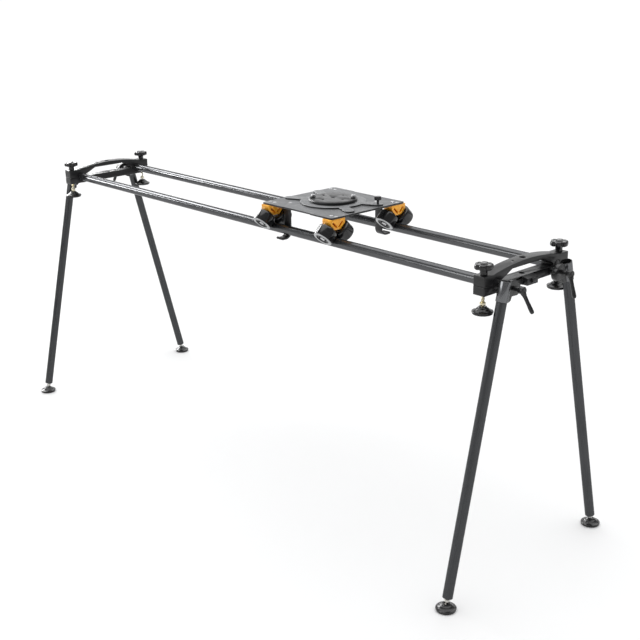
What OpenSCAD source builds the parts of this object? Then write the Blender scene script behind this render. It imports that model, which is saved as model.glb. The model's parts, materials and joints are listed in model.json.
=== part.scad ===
// Camera slider: two parallel tube rails between arched end handles, a wheeled
// carriage plate, and four splayed tubular legs with levelling feet.
// X runs along the rails, +Y is the rear rail, Z is up, and the origin is on the
// floor at the centre of the four legs' footprint.

/* [Track] */
// Length of each rail tube
rail_len = 1830; // [700:10:2440]
// Outside diameter of a rail tube
rail_d = 25; // [22:0.5:30]
// Wall thickness of a rail tube
rail_wall = 2; // [1.2:0.1:3]
// Distance between the two rail axes
gauge = 225; // [200:1:300]
// Height of the rail axes above the floor
rail_z = 755; // [450:5:1000]

/* [End frames] */
// Width of the handle and the crossbar along the rails
end_w = 34; // [30:1:44]
// How far a rail's end stays inside the outer face of its clamp
rail_inset = 2; // [1:0.5:4]
// Height of the handle's ends above the rail axis
block_up = 24.5; // [22:0.5:30]
// Depth of the crossbar below the rail axis
block_down = 21; // [20:0.5:30]
// Rise of the handle's crown above its flat ends
arch_rise = 13; // [8:0.5:24]
// Half the width over which the arch rises between its flat ends
arch_half = 123; // [110:1:130]
// Thickness of the arch at its crown
arch_t = 13; // [10:0.5:18]
// Distance of a clamp knob's axis outboard of its rail's axis
knob_out = 27; // [25:0.5:32]
// Metal outboard of a clamp knob's axis
end_lap = 16.5; // [14:0.5:22]
// Metal inboard of a rail's axis in the clamp
rail_lap = 18.5; // [17:0.5:26]
// Half length of the flat part under the arch
grip_half = 57; // [40:1:70]
// Bore through the crown of the arch
arch_bore = 16; // [12:0.5:18]
// Clearance bore for a 3/8 inch bolt in the crossbar
bolt_bore = 10.5; // [9.8:0.1:12]
// Diameter of the counterbore for that bolt's head
bolt_head_d = 14.5; // [13.5:0.5:20]
// Depth of that counterbore
bolt_head_t = 6; // [4:0.5:8]
// Diameter of the threaded accessory hole in the arch
acc_hole_d = 5; // [4:0.5:6]
// Distance of the accessory hole from the crown
acc_hole_y = 36; // [25:1:50]

/* [Clamp knobs] */
// Diameter of a clamp knob's head
knob_d = 44; // [34:1:48]
// Thickness of a clamp knob's head
knob_t = 13; // [9:0.5:16]
// Number of grips around the head
knob_lobes = 6; // [5:1:8]
// Height of the neck between the clamp and the head
knob_neck_h = 13; // [8:0.5:24]

/* [Legs] */
// Outward lean of each leg from the vertical, in degrees
leg_splay = 13.2; // [6:0.2:20]
// Outside diameter of a leg tube
leg_d = 25; // [20:0.5:28]
// Wall thickness of a leg tube
leg_wall = 2; // [1.2:0.1:3]
// Distance of a leg's pivot from the slider's centre line
pivot_y = 90; // [80:1:96]
// Distance from the crossbar's face to the leg's axis
leg_reach_x = 24; // [22:0.5:34]
// Distance from the pivot to the leg's axis
leg_off = 27; // [25:0.5:34]
// Wall of the sleeve that holds the leg tube
sleeve_wall = 2; // [1.5:0.1:4]
// Length of that sleeve
sleeve_len = 48; // [40:1:70]

/* [Levelling feet] */
// Diameter of a foot's pad
pad_d = 50; // [40:1:60]
// Height of a foot's pad
pad_h = 18; // [16:0.5:24]
// Diameter of a foot's threaded stud
stud_d = 8; // [8:0.5:10]
// Greatest tilt of a pad on its ball, in degrees
pad_tilt = 15; // [5:1:16]
// Depth of a clamp foot's sole below the crossbar
clamp_foot_drop = 46; // [42:0.5:60]

/* [Carriage] */
// Position of the carriage along the rails, from their centre
carriage_x = 257; // [-280:1:400]
// Length of the carriage plate along the rails
plate_len = 280; // [260:5:360]
// Width of the carriage plate across the rails
plate_w = 268; // [260:2:320]
// Thickness of the carriage plate
plate_t = 5; // [4:0.5:8]
// Height of the plate's underside above the rail axis
plate_up = 64; // [62:0.5:72]
// Diameter of a wheel
wheel_d = 53; // [44:1:54]
// Width of a wheel
wheel_w = 34; // [26:1:36]
// Length of a wheel bracket along the rails
bracket_len = 31; // [24:1:36]
// Width of a safety hook along the rails
hook_w = 24; // [16:1:26]
// Thickness of a safety hook
hook_t = 5; // [3:0.5:6]

/* [Head mount] */
// Diameter of the round flange that carries the camera head
flange_d = 132; // [110:2:144]
// Thickness of that flange
flange_t = 8; // [6:0.5:16]
// Thickness of the star-shaped adapter under it
adapter_t = 4; // [3:0.5:8]
// Bore for the camera head's 3/8 inch bolt
head_bore = 10.2; // [9.8:0.1:12]
// Pitch circle of the camera head's four threaded holes
head_pcd = 76; // [60:1:84]
// Diameter of those four holes
head_hole_d = 6; // [5:0.5:8]

/* [Hidden] */
$fn = 96;
CORNERS = ["front_left", "rear_left", "front_right", "rear_right"];

// Clearances
fit = 0.05;        // round pieces that turn, slide or press in one another
seat = 0.3;        // flat or curved faces of pieces that move past each other
tap = 0.05;        // a screw in its threaded hole, per side

// Track and end frames
end_x = rail_len / 2 - end_w / 2 + rail_inset;
face_x = end_x + end_w / 2;
rail_y = gauge / 2;
knob_y = rail_y + knob_out;
end_y = knob_y + end_lap;
grip_y = rail_y - rail_lap;
split = 0.6;       // gap between the two clamp halves, which the knob draws together
arch_r = (arch_half * arch_half + arch_rise * arch_rise) / (2 * arch_rise);
crown = block_up + arch_rise;
grip_top = crown - arch_t;
grip_foot = 6.5;   // height of the short upright at the ends of the hand grip
plug_len = 12;
plug_head = 1.2;

// Centre lug on the crossbar's outer face
lug_w = 40;
lug_t = 15;
lug_bolt_z = -block_down / 2 - 0.8;

// Clamp knob, as heights above the rail axis
knob_seat = block_up;
knob_neck_d = 18;
knob_bolt_d = 8;
knob_bolt_end = -6.5;
knob_cap_d = 15;
knob_cap_t = 1.6;
bolt_free_d = knob_bolt_d + 0.8;
foot_tap_end = -8;

// Levelling foot, as heights above its sole
ball_r = 6;
ball_h = 10.5;
ball_neck_d = 6;
stud_hex_af = 13;
stud_hex_t = 6;
stud_hex_lift = 10.8;  // from the ball's centre to the hexagon
pad_rim_h = 7;
pad_top_d = 19;
leg_gap = 20;          // from the ball's centre to the leg tube's lower end
clamp_stud_end = -12;  // top of a clamp foot's stud, from the rail axis
leg_stud_in = 42;      // length of a leg foot's stud inside its tube

// Leg: its own frame has the pivot at the origin and the tube along -Z
pivot_dz = -8;
pivot_z = rail_z + pivot_dz;
leg_x = face_x + leg_reach_x;
leg_ball_t = (pivot_z + leg_off * sin(leg_splay) - ball_h) / cos(leg_splay);
// Y of the ball's centre in the slider's own frame
leg_ball_y = pivot_y + leg_off * cos(leg_splay) + leg_ball_t * sin(leg_splay);
sleeve_top = 15;
tube_top = 10;
tube_bottom = -leg_ball_t + leg_gap;
leg_plug_len = 16;
sleeve_r = leg_d / 2 + fit + sleeve_wall;
web_t = 12;
web_x0 = leg_reach_x - web_t / 2;
web_end_y = -12;
web_end_r = 15;
web_hub_r = 19;
web_foot_z = -35;
pivot_boss_d = 22;
pivot_bolt_d = 8;
pivot_bolt_in = 14;
lever_stub_d = 10;
lever_stub_len = 15.5;
lever_hub_d = 18;
lever_hub_len = 15;
lever_len = 54;
lever_lean = 24;
lever_turn = 12;
lever_root_r = 5.5;
lever_tip_r = 4.5;
lever_x = web_x0 + web_t + seat;
pivot_bolt_out = lever_x + lever_stub_len + 10;

// Carriage
bracket_x = plate_len / 2 - bracket_len / 2 - 1.5;
plate_z = rail_z + plate_up;
plate_top = plate_z + plate_t;
plate_clip = 4;
plate_recess = 3;
recess_half = 53;
wheel_r = wheel_d / 2;
tread_gap = 0.3;
wheel_c = (rail_d / 2 + tread_gap + wheel_r) / sqrt(2);
wheel_off = 2;         // outward shift of a wheel's middle from its contact line
wheel_in = wheel_w / 2 - wheel_off;    // from that line to the side at the bracket
wheel_out = wheel_w / 2 + wheel_off;
lip_in = 6.5;          // rounding of the tread beside the bracket
lip_out = 3;
wheel_side = 2.4;      // gap between a wheel's side and its bracket
bracket_w = 52;
bracket_face = 15;     // rise of the bracket's 45 degree faces
bracket_flat = bracket_w / 2 - bracket_face;
// Height of the 45 degree faces' lower edge, which leaves a gap beside each wheel
bracket_low = bracket_flat + (wheel_in + wheel_side) * sqrt(2);
axle_d = 8;
axle_apart = 3.7;      // keeps the inner ends of a bracket's two axles apart
axle_in = sqrt(2) * wheel_c - wheel_in - wheel_side - axle_d / 2 - axle_apart;
bearing_d = 22;
bearing_w = 7;
bearing_in = -wheel_in + 2;
bearing_out = wheel_out - 13;
axle_head_d = 13;
axle_head_t = 5;
hook_y = rail_y - 20.5;   // inner face of a hook's upright
hook_x = bracket_x - wheel_r - hook_w / 2 - 4;
hook_drop = -8;           // where the curl starts, from the rail axis
HOOK_CORNERS = ["front_left", "rear_right"];
hook_curl_r = 20;
hook_tip = 12;
hook_bead = 7;            // rounded lip at the hook's tip
hook_flange = 16;
screw_d = 5;
screw_head_d = 10;
screw_sink = 2.8;

// Head mount
adapter_z = plate_top;
flange_z = adapter_z + adapter_t;
flange_top = flange_z + flange_t;
adapter_disc_r = 90;
arm_angle = 24;
arm_len = 130;
arm_r = 14;
lug_pcd = 110;
lug_screws = [40, 220];
lug_pad_t = 3;
thumb_d = 19;
thumb_t = 9;
thumb_lift = 11;
thumb_bolt_d = 6;

// ---- placing -------------------------------------------------------------

// The sign of a corner's X or Y, from its name
function sx(c) = (c == "front_left" || c == "rear_left") ? -1 : 1;
function sy(c) = (c == "front_left" || c == "front_right") ? -1 : 1;

// Draws children, made for the rear right corner, at another corner
module at_corner(c) {
  mirror([sx(c) < 0 ? 1 : 0, 0, 0]) mirror([0, sy(c) < 0 ? 1 : 0, 0]) children();
}
// Draws children, made for the right end, at either end
module at_end(s) {
  mirror([s < 0 ? 1 : 0, 0, 0]) children();
}
// Draws children, made for the rear right of the carriage, at another corner of it
module at_carriage(c) {
  translate([carriage_x, 0, 0]) at_corner(c) children();
}
// The leg's own frame: pivot at the origin, tube parallel to Z
module in_leg() {
  translate([face_x, pivot_y, pivot_z]) rotate([leg_splay, 0, 0]) children();
}
// Lays a Y-Z outline across the slider, extruded along X from x0
module along_x(x0, len) {
  translate([x0, 0, 0]) rotate([90, 0, 90]) linear_extrude(len) children();
}
module x_cyl(d, len) {
  rotate([0, 90, 0]) cylinder(d = d, h = len);
}
module rounded_rect(w, h, r) {
  square([w - 2 * r, h], center = true);
  square([w, h - 2 * r], center = true);
  for (x = [-1, 1], y = [-1, 1]) translate([x * (w / 2 - r), y * (h / 2 - r)]) circle(r);
}
module hex_prism(af, h) {
  cylinder(d = af / cos(30), h = h, $fn = 6);
}

// ---- track ---------------------------------------------------------------

module rail(s) {
  color("#2b2c2e") translate([-rail_len / 2, s * rail_y, rail_z]) difference() {
    x_cyl(rail_d, rail_len);
    translate([-1, 0, 0]) x_cyl(rail_d - 2 * rail_wall, rail_len + 2);
  }
}

module rail_end_plugs() {
  color("#151515") for (c = CORNERS) at_corner(c) translate([rail_len / 2, rail_y, rail_z]) {
    translate([-plug_len, 0, 0]) x_cyl(rail_d - 2 * rail_wall - 2 * fit, plug_len);
    x_cyl(rail_d - 1, plug_head);
  }
}

// The two rail bores, shared by a handle and the crossbar under it
module end_bores() {
  for (s = [-1, 1]) translate([end_x - end_w, s * rail_y, 0]) x_cyl(rail_d + 2 * fit, 2 * end_w);
}

module end_plan(h) {
  translate([end_x, 0, 0]) linear_extrude(h) rounded_rect(end_w, 2 * end_y, 3);
}

module handle() {
  color("#2a2b2c") translate([0, 0, rail_z]) difference() {
    intersection() {
      end_plan(crown + 5);
      along_x(end_x - end_w / 2, end_w) {
        translate([-end_y, split / 2]) square([2 * end_y, block_up - split / 2]);
        intersection() {
          translate([0, crown - arch_r]) circle(arch_r, $fn = 360);
          translate([-end_y, split / 2]) square([2 * end_y, crown]);
        }
      }
    }
    along_x(end_x - end_w, 2 * end_w) polygon([
      [-grip_y, -1], [grip_y, -1], [grip_y, grip_foot], [grip_half, grip_top],
      [-grip_half, grip_top], [-grip_y, grip_foot]
    ]);
    end_bores();
    for (s = [-1, 1]) translate([end_x, s * knob_y, 0]) {
      cylinder(d = bolt_free_d, h = crown);
    }
    translate([end_x, 0, 0]) cylinder(d = arch_bore, h = crown + 5);
    translate([end_x, -acc_hole_y, 0]) cylinder(d = acc_hole_d, h = crown + 5);
  }
}

module crossbar() {
  color("#242526") translate([0, 0, rail_z]) difference() {
    union() {
      translate([0, 0, -block_down]) end_plan(block_down - split / 2);
      // Centre lug, with its top sloping away
      translate([0, -lug_w / 2, 0]) rotate([90, 0, 0]) mirror([0, 0, 1]) linear_extrude(lug_w)
        polygon([
          [face_x - 4, -split / 2], [face_x, -split / 2 - 0.7], [face_x + lug_t, -4.5],
          [face_x + lug_t, -block_down - 0.5], [face_x - 4, -block_down]
        ]);
    }
    end_bores();
    for (s = [-1, 1]) translate([end_x, s * knob_y, 0]) {
      translate([0, 0, foot_tap_end]) cylinder(d = knob_bolt_d + 2 * tap, h = -foot_tap_end + 1);
      translate([0, 0, -block_down - 1])
        cylinder(d = stud_d + 2 * tap, h = block_down + 1 + foot_tap_end);
    }
    translate([end_x, 0, -block_down - 1]) cylinder(d = bolt_bore, h = block_down + 2);
    translate([end_x, 0, -bolt_head_t]) cylinder(d = bolt_head_d, h = bolt_head_t + 1);
    for (s = [-1, 1]) translate([face_x - pivot_bolt_in, s * pivot_y, pivot_dz])
      x_cyl(pivot_bolt_d + 2 * tap, pivot_bolt_in + 1);
    translate([face_x - 2, 0, lug_bolt_z]) x_cyl(pivot_bolt_d + 2 * tap, lug_t + 3);
  }
}

// Pivot bolt of each leg, and the hexagon bolt in each centre lug
module frame_bolts() {
  color("#2c2d2f") {
    for (c = CORNERS) at_corner(c)
      translate([face_x - pivot_bolt_in + 0.5, pivot_y, pivot_z])
        x_cyl(pivot_bolt_d, pivot_bolt_in - 0.5 + pivot_bolt_out);
    for (s = [-1, 1]) at_end(s) translate([face_x, 0, rail_z + lug_bolt_z]) {
      x_cyl(pivot_bolt_d, lug_t + 1);
      translate([lug_t, 0, 0]) rotate([0, 90, 0]) hex_prism(13, 5);
    }
  }
}

// ---- clamp knobs ---------------------------------------------------------

module clamp_knob() {
  color("#161616") translate([end_x, knob_y, rail_z]) {
    translate([0, 0, knob_bolt_end]) cylinder(d = knob_bolt_d, h = knob_seat - knob_bolt_end + 1);
    translate([0, 0, knob_seat]) {
      cylinder(d = knob_neck_d, h = knob_neck_h + 1);
      translate([0, 0, knob_neck_h]) {
        intersection() {
          linear_extrude(knob_t) difference() {
            circle(d = knob_d);
            for (i = [0 : knob_lobes - 1]) rotate((i + 0.5) * 360 / knob_lobes)
              translate([knob_d / 2 + 2.5, 0]) circle(6.5);
          }
          // Rounds the head's upper and lower edges
          rotate_extrude() {
            square([knob_d / 2 - 3, knob_t]);
            translate([0, 3]) square([knob_d / 2, knob_t - 6]);
            for (z = [3, knob_t - 3]) translate([knob_d / 2 - 3, z]) circle(3);
          }
        }
        cylinder(d = knob_cap_d, h = knob_t + knob_cap_t);
      }
    }
  }
}

// ---- levelling feet ------------------------------------------------------

// Pad with its sole at z = 0 and a socket for the stud's ball
module foot_pad() {
  throat_h = pad_h - ball_h + 1;
  throat_r = ball_neck_d / 2 / cos(pad_tilt) + 0.2;
  difference() {
    rotate_extrude() polygon([
      [0, 0], [pad_d / 2 - 1.5, 0], [pad_d / 2, 1.5], [pad_d / 2, pad_rim_h - 1],
      [pad_d / 2 - 1, pad_rim_h], [pad_d / 2 - 5, pad_rim_h + 2], [pad_top_d / 2 + 4, pad_h - 4.5],
      [pad_top_d / 2, pad_h - 0.8], [pad_top_d / 2 - 0.8, pad_h], [0, pad_h]
    ]);
    translate([0, 0, ball_h]) {
      sphere(r = ball_r + fit);
      cylinder(r1 = throat_r, r2 = throat_r + throat_h * tan(pad_tilt), h = throat_h);
    }
  }
}

// Stud of the given length above the ball's centre, which is at the origin
module foot_stud(len) {
  sphere(r = ball_r);
  cylinder(d = ball_neck_d, h = stud_hex_lift + 1);
  translate([0, 0, stud_hex_lift]) hex_prism(stud_hex_af, stud_hex_t);
  translate([0, 0, stud_hex_lift]) cylinder(d = stud_d, h = len - stud_hex_lift);
}

module clamp_foot_place() {
  translate([end_x, knob_y, rail_z - block_down - clamp_foot_drop]) children();
}
module clamp_foot_stud() {
  color("#c9bd9a") clamp_foot_place() translate([0, 0, ball_h])
    foot_stud(block_down + clamp_foot_drop + clamp_stud_end - ball_h);
}
module clamp_foot_pad() {
  color("#121212") clamp_foot_place() foot_pad();
}

// ---- legs ----------------------------------------------------------------

module leg_socket() {
  color("#242527") in_leg() difference() {
    union() {
      translate([leg_reach_x, leg_off, sleeve_top - sleeve_len]) cylinder(r = sleeve_r, h = sleeve_len);
      // Web from the sleeve to the pivot, stepped at its foot
      along_x(web_x0, web_t) {
        translate([web_end_y, -2]) circle(web_end_r);
        circle(web_hub_r);
        polygon([
          [leg_off, sleeve_top], [12, sleeve_top], [-2, web_hub_r], [web_end_y, web_end_r - 2],
          [web_end_y, -web_end_r - 2], [0, -web_hub_r], [2, web_foot_z + 6],
          [leg_off - 20, sleeve_top - sleeve_len], [leg_off, sleeve_top - sleeve_len]
        ]);
      }
      translate([seat, 0, 0]) x_cyl(pivot_boss_d, web_x0);
    }
    translate([leg_reach_x, leg_off, sleeve_top - sleeve_len - 1])
      cylinder(r = leg_d / 2 + fit, h = sleeve_len + 2);
    x_cyl(pivot_bolt_d + 2 * fit, web_x0 + web_t + 1);
  }
}

module leg_tube() {
  color("#2b2c2e") in_leg() translate([leg_reach_x, leg_off, tube_bottom]) {
    difference() {
      cylinder(d = leg_d, h = tube_top - tube_bottom);
      translate([0, 0, -1]) cylinder(d = leg_d - 2 * leg_wall, h = tube_top - tube_bottom + 2);
    }
    // Threaded plug pressed into the lower end
    difference() {
      cylinder(d = leg_d - 2 * leg_wall - 2 * fit, h = leg_plug_len);
      translate([0, 0, -1]) cylinder(d = stud_d + 2 * tap, h = leg_plug_len + 2);
    }
  }
}

module leg_foot_stud() {
  color("#c4c6c8") in_leg() translate([leg_reach_x, leg_off, -leg_ball_t])
    foot_stud(leg_gap + leg_stud_in);
}

// The pad stays level under the stud's ball
module leg_foot_pad() {
  color("#121212") translate([leg_x, leg_ball_y, 0]) foot_pad();
}

module ratchet_lever() {
  color("#1b1b1c") translate([face_x + lever_x, pivot_y, pivot_z]) rotate([-lever_turn, 0, 0])
    difference() {
      union() {
        x_cyl(lever_stub_d, lever_stub_len + 1);
        translate([lever_stub_len, 0, 0]) x_cyl(lever_hub_d, lever_hub_len);
        translate([lever_stub_len + lever_hub_len / 2, 0, 0]) rotate([0, -lever_lean, 0])
          translate([0, 0, -lever_len]) {
            cylinder(r1 = lever_tip_r, r2 = lever_root_r, h = lever_len);
            sphere(r = lever_tip_r);
          }
      }
      translate([-1, 0, 0]) x_cyl(pivot_bolt_d + 2 * fit, pivot_bolt_out - lever_x + 2);
    }
}

// ---- carriage ------------------------------------------------------------

module carriage_plate() {
  color("#4b4d4f") translate([carriage_x, 0, plate_z]) difference() {
    linear_extrude(plate_t) difference() {
      square([plate_len, plate_w], center = true);
      for (x = [-1, 1], y = [-1, 1]) translate([x * plate_len / 2, y * plate_w / 2]) rotate(45)
        square(plate_clip * sqrt(2), center = true);
      for (y = [-1, 1]) translate([0, y * plate_w / 2]) polygon([
        [-recess_half - plate_recess, y], [recess_half + plate_recess, y],
        [recess_half, -y * plate_recess], [-recess_half, -y * plate_recess]
      ]);
    }
    translate([0, 0, -1]) cylinder(d = 40, h = plate_t + 2);
    plate_screw_holes();
    translate([0, 0, -1]) rotate(arm_angle) translate([arm_len, 0, 0])
      cylinder(d = thumb_bolt_d + 2 * tap, h = plate_t + 2);
    for (a = lug_screws) rotate(a) translate([lug_pcd / 2, 0, -1])
      cylinder(d = screw_d + 2 * tap, h = plate_t + 2);
  }
}

// Countersunk holes over the brackets and the hooks, from the plate's underside
module plate_screw_holes() {
  each_plate_screw() translate([0, 0, -1]) {
    cylinder(d = screw_d + 2 * tap, h = plate_t + 2);
    translate([0, 0, plate_t + 1 - screw_sink])
      cylinder(d1 = screw_d + 2 * tap, d2 = screw_head_d + 4 * tap, h = screw_sink + 0.1);
  }
}
module each_plate_screw() {
  for (c = CORNERS) at_corner(c) for (x = [-9, 9]) translate([bracket_x + x, rail_y, 0]) children();
  for (c = HOOK_CORNERS) at_corner(c) translate([hook_x, hook_y - hook_flange / 2, 0]) children();
}

module bracket_outline() {
  difference() {
    polygon([
      [-bracket_w / 2, plate_up], [bracket_w / 2, plate_up],
      [bracket_w / 2, bracket_low + bracket_face], [bracket_flat, bracket_low],
      [-bracket_flat, bracket_low], [-bracket_w / 2, bracket_low + bracket_face]
    ]);
    // A slot behind each 45 degree face, the two forming a V
    for (s = [-1, 1]) translate([s * (bracket_flat - 0.5), bracket_low + 13]) rotate(s * 45) {
      square([15, 5], center = true);
      for (x = [-7.5, 7.5]) translate([x, 0]) circle(2.5);
    }
  }
}

module bracket() {
  color("#f28c12") difference() {
    translate([0, rail_y, rail_z]) along_x(bracket_x - bracket_len / 2, bracket_len) bracket_outline();
    for (s = [-1, 1]) wheel_place(s) translate([0, 0, -wheel_in - wheel_side - axle_in - 0.5])
      cylinder(d = axle_d + 2 * tap, h = axle_in + 2);
    for (x = [-9, 9]) translate([bracket_x + x, rail_y, plate_z - 10.5])
      cylinder(d = screw_d + 2 * tap, h = 12);
  }
}

// A wheel's own frame on the rear right bracket: axle along Z, pointing away from
// the bracket. s is 1 for the wheel outboard of the rail and -1 for the inboard one
module wheel_place(s) {
  translate([bracket_x, rail_y + s * wheel_c, rail_z + wheel_c]) rotate([-s * 135, 0, 0]) children();
}

module wheel() {
  seat_r = bearing_d / 2 + fit;
  color("#1a1a1a") rotate_extrude() difference() {
    union() {
      translate([seat_r - 2, -wheel_in]) square([wheel_r - lip_in - seat_r + 2, wheel_w]);
      translate([seat_r - 2, lip_in - wheel_in])
        square([wheel_r - lip_out - seat_r + 2, wheel_w - lip_in]);
      translate([seat_r - 2, lip_in - wheel_in])
        square([wheel_r - seat_r + 2, wheel_w - lip_in - lip_out]);
      translate([wheel_r - lip_in, lip_in - wheel_in]) circle(lip_in);
      translate([wheel_r - lip_out, wheel_out - lip_out]) circle(lip_out);
    }
    // Bearing seats either side of a shoulder
    translate([0, -wheel_in - 1]) square([seat_r, bearing_in + bearing_w + wheel_in + 1]);
    translate([0, bearing_out]) square([seat_r, wheel_w]);
    // Dished outer side
    translate([0, wheel_out - 2.5]) square([16, 5]);
    polygon([[15.9, wheel_out - 2.5], [18.5, wheel_out + 0.1], [15.9, wheel_out + 0.1]]);
  }
}

module each_wheel() {
  for (c = CORNERS) at_carriage(c) for (s = [-1, 1]) wheel_place(s) children();
}

module axle_bolts() {
  shoulder = -wheel_in - wheel_side;
  head = bearing_out + bearing_w + fit;
  color("#c8cacc") each_wheel() difference() {
    union() {
      translate([0, 0, shoulder - axle_in]) cylinder(d = axle_d, h = head - shoulder + axle_in + 1);
      translate([0, 0, shoulder]) cylinder(d = 12, h = bearing_in - fit - shoulder);
      translate([0, 0, head]) cylinder(d = axle_head_d, h = axle_head_t);
    }
    translate([0, 0, head + axle_head_t - 3]) hex_prism(6, 4);
  }
}

module wheel_bearings() {
  color("#9c9fa2") each_wheel() for (z = [bearing_in, bearing_out]) translate([0, 0, z])
    difference() {
      cylinder(d = bearing_d, h = bearing_w);
      translate([0, 0, -1]) cylinder(d = axle_d + 2 * fit, h = bearing_w + 2);
      // Groove between the races, on both sides
      for (g = [-1, bearing_w - 0.6]) translate([0, 0, g]) difference() {
        cylinder(d = bearing_d - 5, h = 1.6);
        translate([0, 0, -1]) cylinder(d = axle_d + 5, h = 4);
      }
    }
}

// J-shaped strip: flange under the plate, upright inside the rail, curl below it
module safety_hooks() {
  color("#1d1e1f") for (c = HOOK_CORNERS) at_carriage(c) translate([0, 0, rail_z]) difference() {
    along_x(hook_x - hook_w / 2, hook_w) translate([hook_y, 0]) {
      translate([0, hook_drop]) square([hook_t, plate_up - hook_drop]);
      translate([-hook_flange, plate_up - hook_t]) square([hook_flange + 1, hook_t]);
      translate([hook_curl_r, hook_drop]) intersection() {
        difference() {
          circle(hook_curl_r);
          circle(hook_curl_r - hook_t);
        }
        translate([-hook_curl_r, -hook_curl_r]) square([hook_curl_r, hook_curl_r]);
      }
      translate([hook_curl_r, hook_drop - hook_curl_r]) {
        square([hook_tip, hook_t]);
        translate([hook_tip, hook_bead / 2]) circle(d = hook_bead);
      }
    }
    translate([hook_x, hook_y - hook_flange / 2, plate_up - hook_t - 1])
      cylinder(d = screw_d + 2 * tap, h = hook_t + 2);
  }
}

// Countersunk screws of the brackets and hooks, and the flange's cap screws
module carriage_screws() {
  color("#8e9092") translate([carriage_x, 0, 0]) {
    each_plate_screw() translate([0, 0, plate_top]) {
      difference() {
        union() {
          translate([0, 0, -screw_sink]) cylinder(d1 = screw_d, d2 = screw_head_d, h = screw_sink);
          translate([0, 0, -plate_t - 9]) cylinder(d = screw_d, h = plate_t + 9 - screw_sink + 0.1);
        }
        translate([0, 0, -1.8]) hex_prism(3, 3);
      }
    }
    for (a = lug_screws) rotate(a) translate([lug_pcd / 2, 0, flange_top + lug_pad_t]) difference() {
      union() {
        cylinder(d = 10, h = 5);
        translate([0, 0, -lug_pad_t - flange_t - adapter_t - plate_t + 1])
          cylinder(d = screw_d, h = lug_pad_t + flange_t + adapter_t + plate_t);
      }
      translate([0, 0, 2.5]) hex_prism(5, 4);
    }
  }
}

// ---- head mount ----------------------------------------------------------

module head_adapter() {
  color("#77797b") translate([carriage_x, 0, adapter_z]) difference() {
    linear_extrude(adapter_t) {
      circle(adapter_disc_r);
      for (a = [arm_angle, 180 - arm_angle, 180 + arm_angle, -arm_angle]) rotate(a) {
        translate([0, -arm_r]) square([arm_len, 2 * arm_r]);
        translate([arm_len, 0]) circle(arm_r);
      }
    }
    translate([0, 0, -1]) cylinder(d = 40, h = adapter_t + 2);
    rotate(arm_angle) translate([arm_len, 0, -1])
      cylinder(d = thumb_bolt_d + 0.6, h = adapter_t + 2);
    for (a = lug_screws) rotate(a) translate([lug_pcd / 2, 0, -1])
      cylinder(d = screw_d + 2 * tap, h = adapter_t + 2);
  }
}

module head_flange() {
  color("#1c1d1e") translate([carriage_x, 0, flange_z]) difference() {
    union() {
      rotate_extrude() polygon([
        [0, 0], [flange_d / 2 - 1, 0], [flange_d / 2, 1], [flange_d / 2, flange_t - 2],
        [flange_d / 2 - 2, flange_t], [0, flange_t]
      ]);
      for (a = lug_screws) rotate(a) translate([lug_pcd / 2, 0, flange_t])
        linear_extrude(lug_pad_t) rounded_rect(14, 24, 4);
    }
    translate([0, 0, -1]) cylinder(d = head_bore, h = flange_t + 2);
    for (a = [0 : 90 : 270]) rotate(a) translate([head_pcd / 2, 0, -1])
      cylinder(d = head_hole_d, h = flange_t + 2);
    for (a = lug_screws) rotate(a) translate([lug_pcd / 2, 0, -1])
      cylinder(d = screw_d + 2 * tap, h = flange_t + lug_pad_t + 2);
  }
}

// Thumbscrew that clamps the adapter's arm to the plate
module adapter_knob() {
  color("#141414") translate([carriage_x, 0, plate_z]) rotate(arm_angle) translate([arm_len, 0, 0.5]) {
    cylinder(d = thumb_bolt_d, h = plate_t + adapter_t + thumb_lift);
    translate([0, 0, plate_t + adapter_t + thumb_lift - 0.5]) {
      difference() {
        cylinder(d = thumb_d, h = thumb_t);
        for (i = [0 : 11]) rotate(i * 30) translate([thumb_d / 2 + 0.6, 0, -1])
          cylinder(d = 3, h = thumb_t + 2, $fn = 24);
      }
    }
  }
}

// ---- drawing -------------------------------------------------------------

rail(-1);  // rail_front
rail(1);  // rail_rear
rail_end_plugs();
at_end(-1) handle();  // handle_left
at_end(1) handle();  // handle_right
at_end(-1) crossbar();  // crossbar_left
at_end(1) crossbar();  // crossbar_right
frame_bolts();
for (c = CORNERS) {
  at_corner(c) clamp_knob();
  at_corner(c) clamp_foot_stud();
  at_corner(c) clamp_foot_pad();
  at_corner(c) leg_socket();
  at_corner(c) leg_tube();
  at_corner(c) leg_foot_stud();
  at_corner(c) leg_foot_pad();
  at_corner(c) ratchet_lever();
  at_carriage(c) bracket();
  at_carriage(c) wheel_place(1) wheel();
  at_carriage(c) wheel_place(-1) wheel();
}
carriage_plate();
axle_bolts();
wheel_bearings();
safety_hooks();
carriage_screws();
head_adapter();
head_flange();
adapter_knob();
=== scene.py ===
"""A camera slider: two tube rails between arched handles, splayed legs on
levelling feet, and a wheeled carriage. Metres throughout; +X runs along the
rails, +Y is the rear rail and +Z is up."""

import json
import math

import bpy
from mathutils import Matrix, Vector


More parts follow.
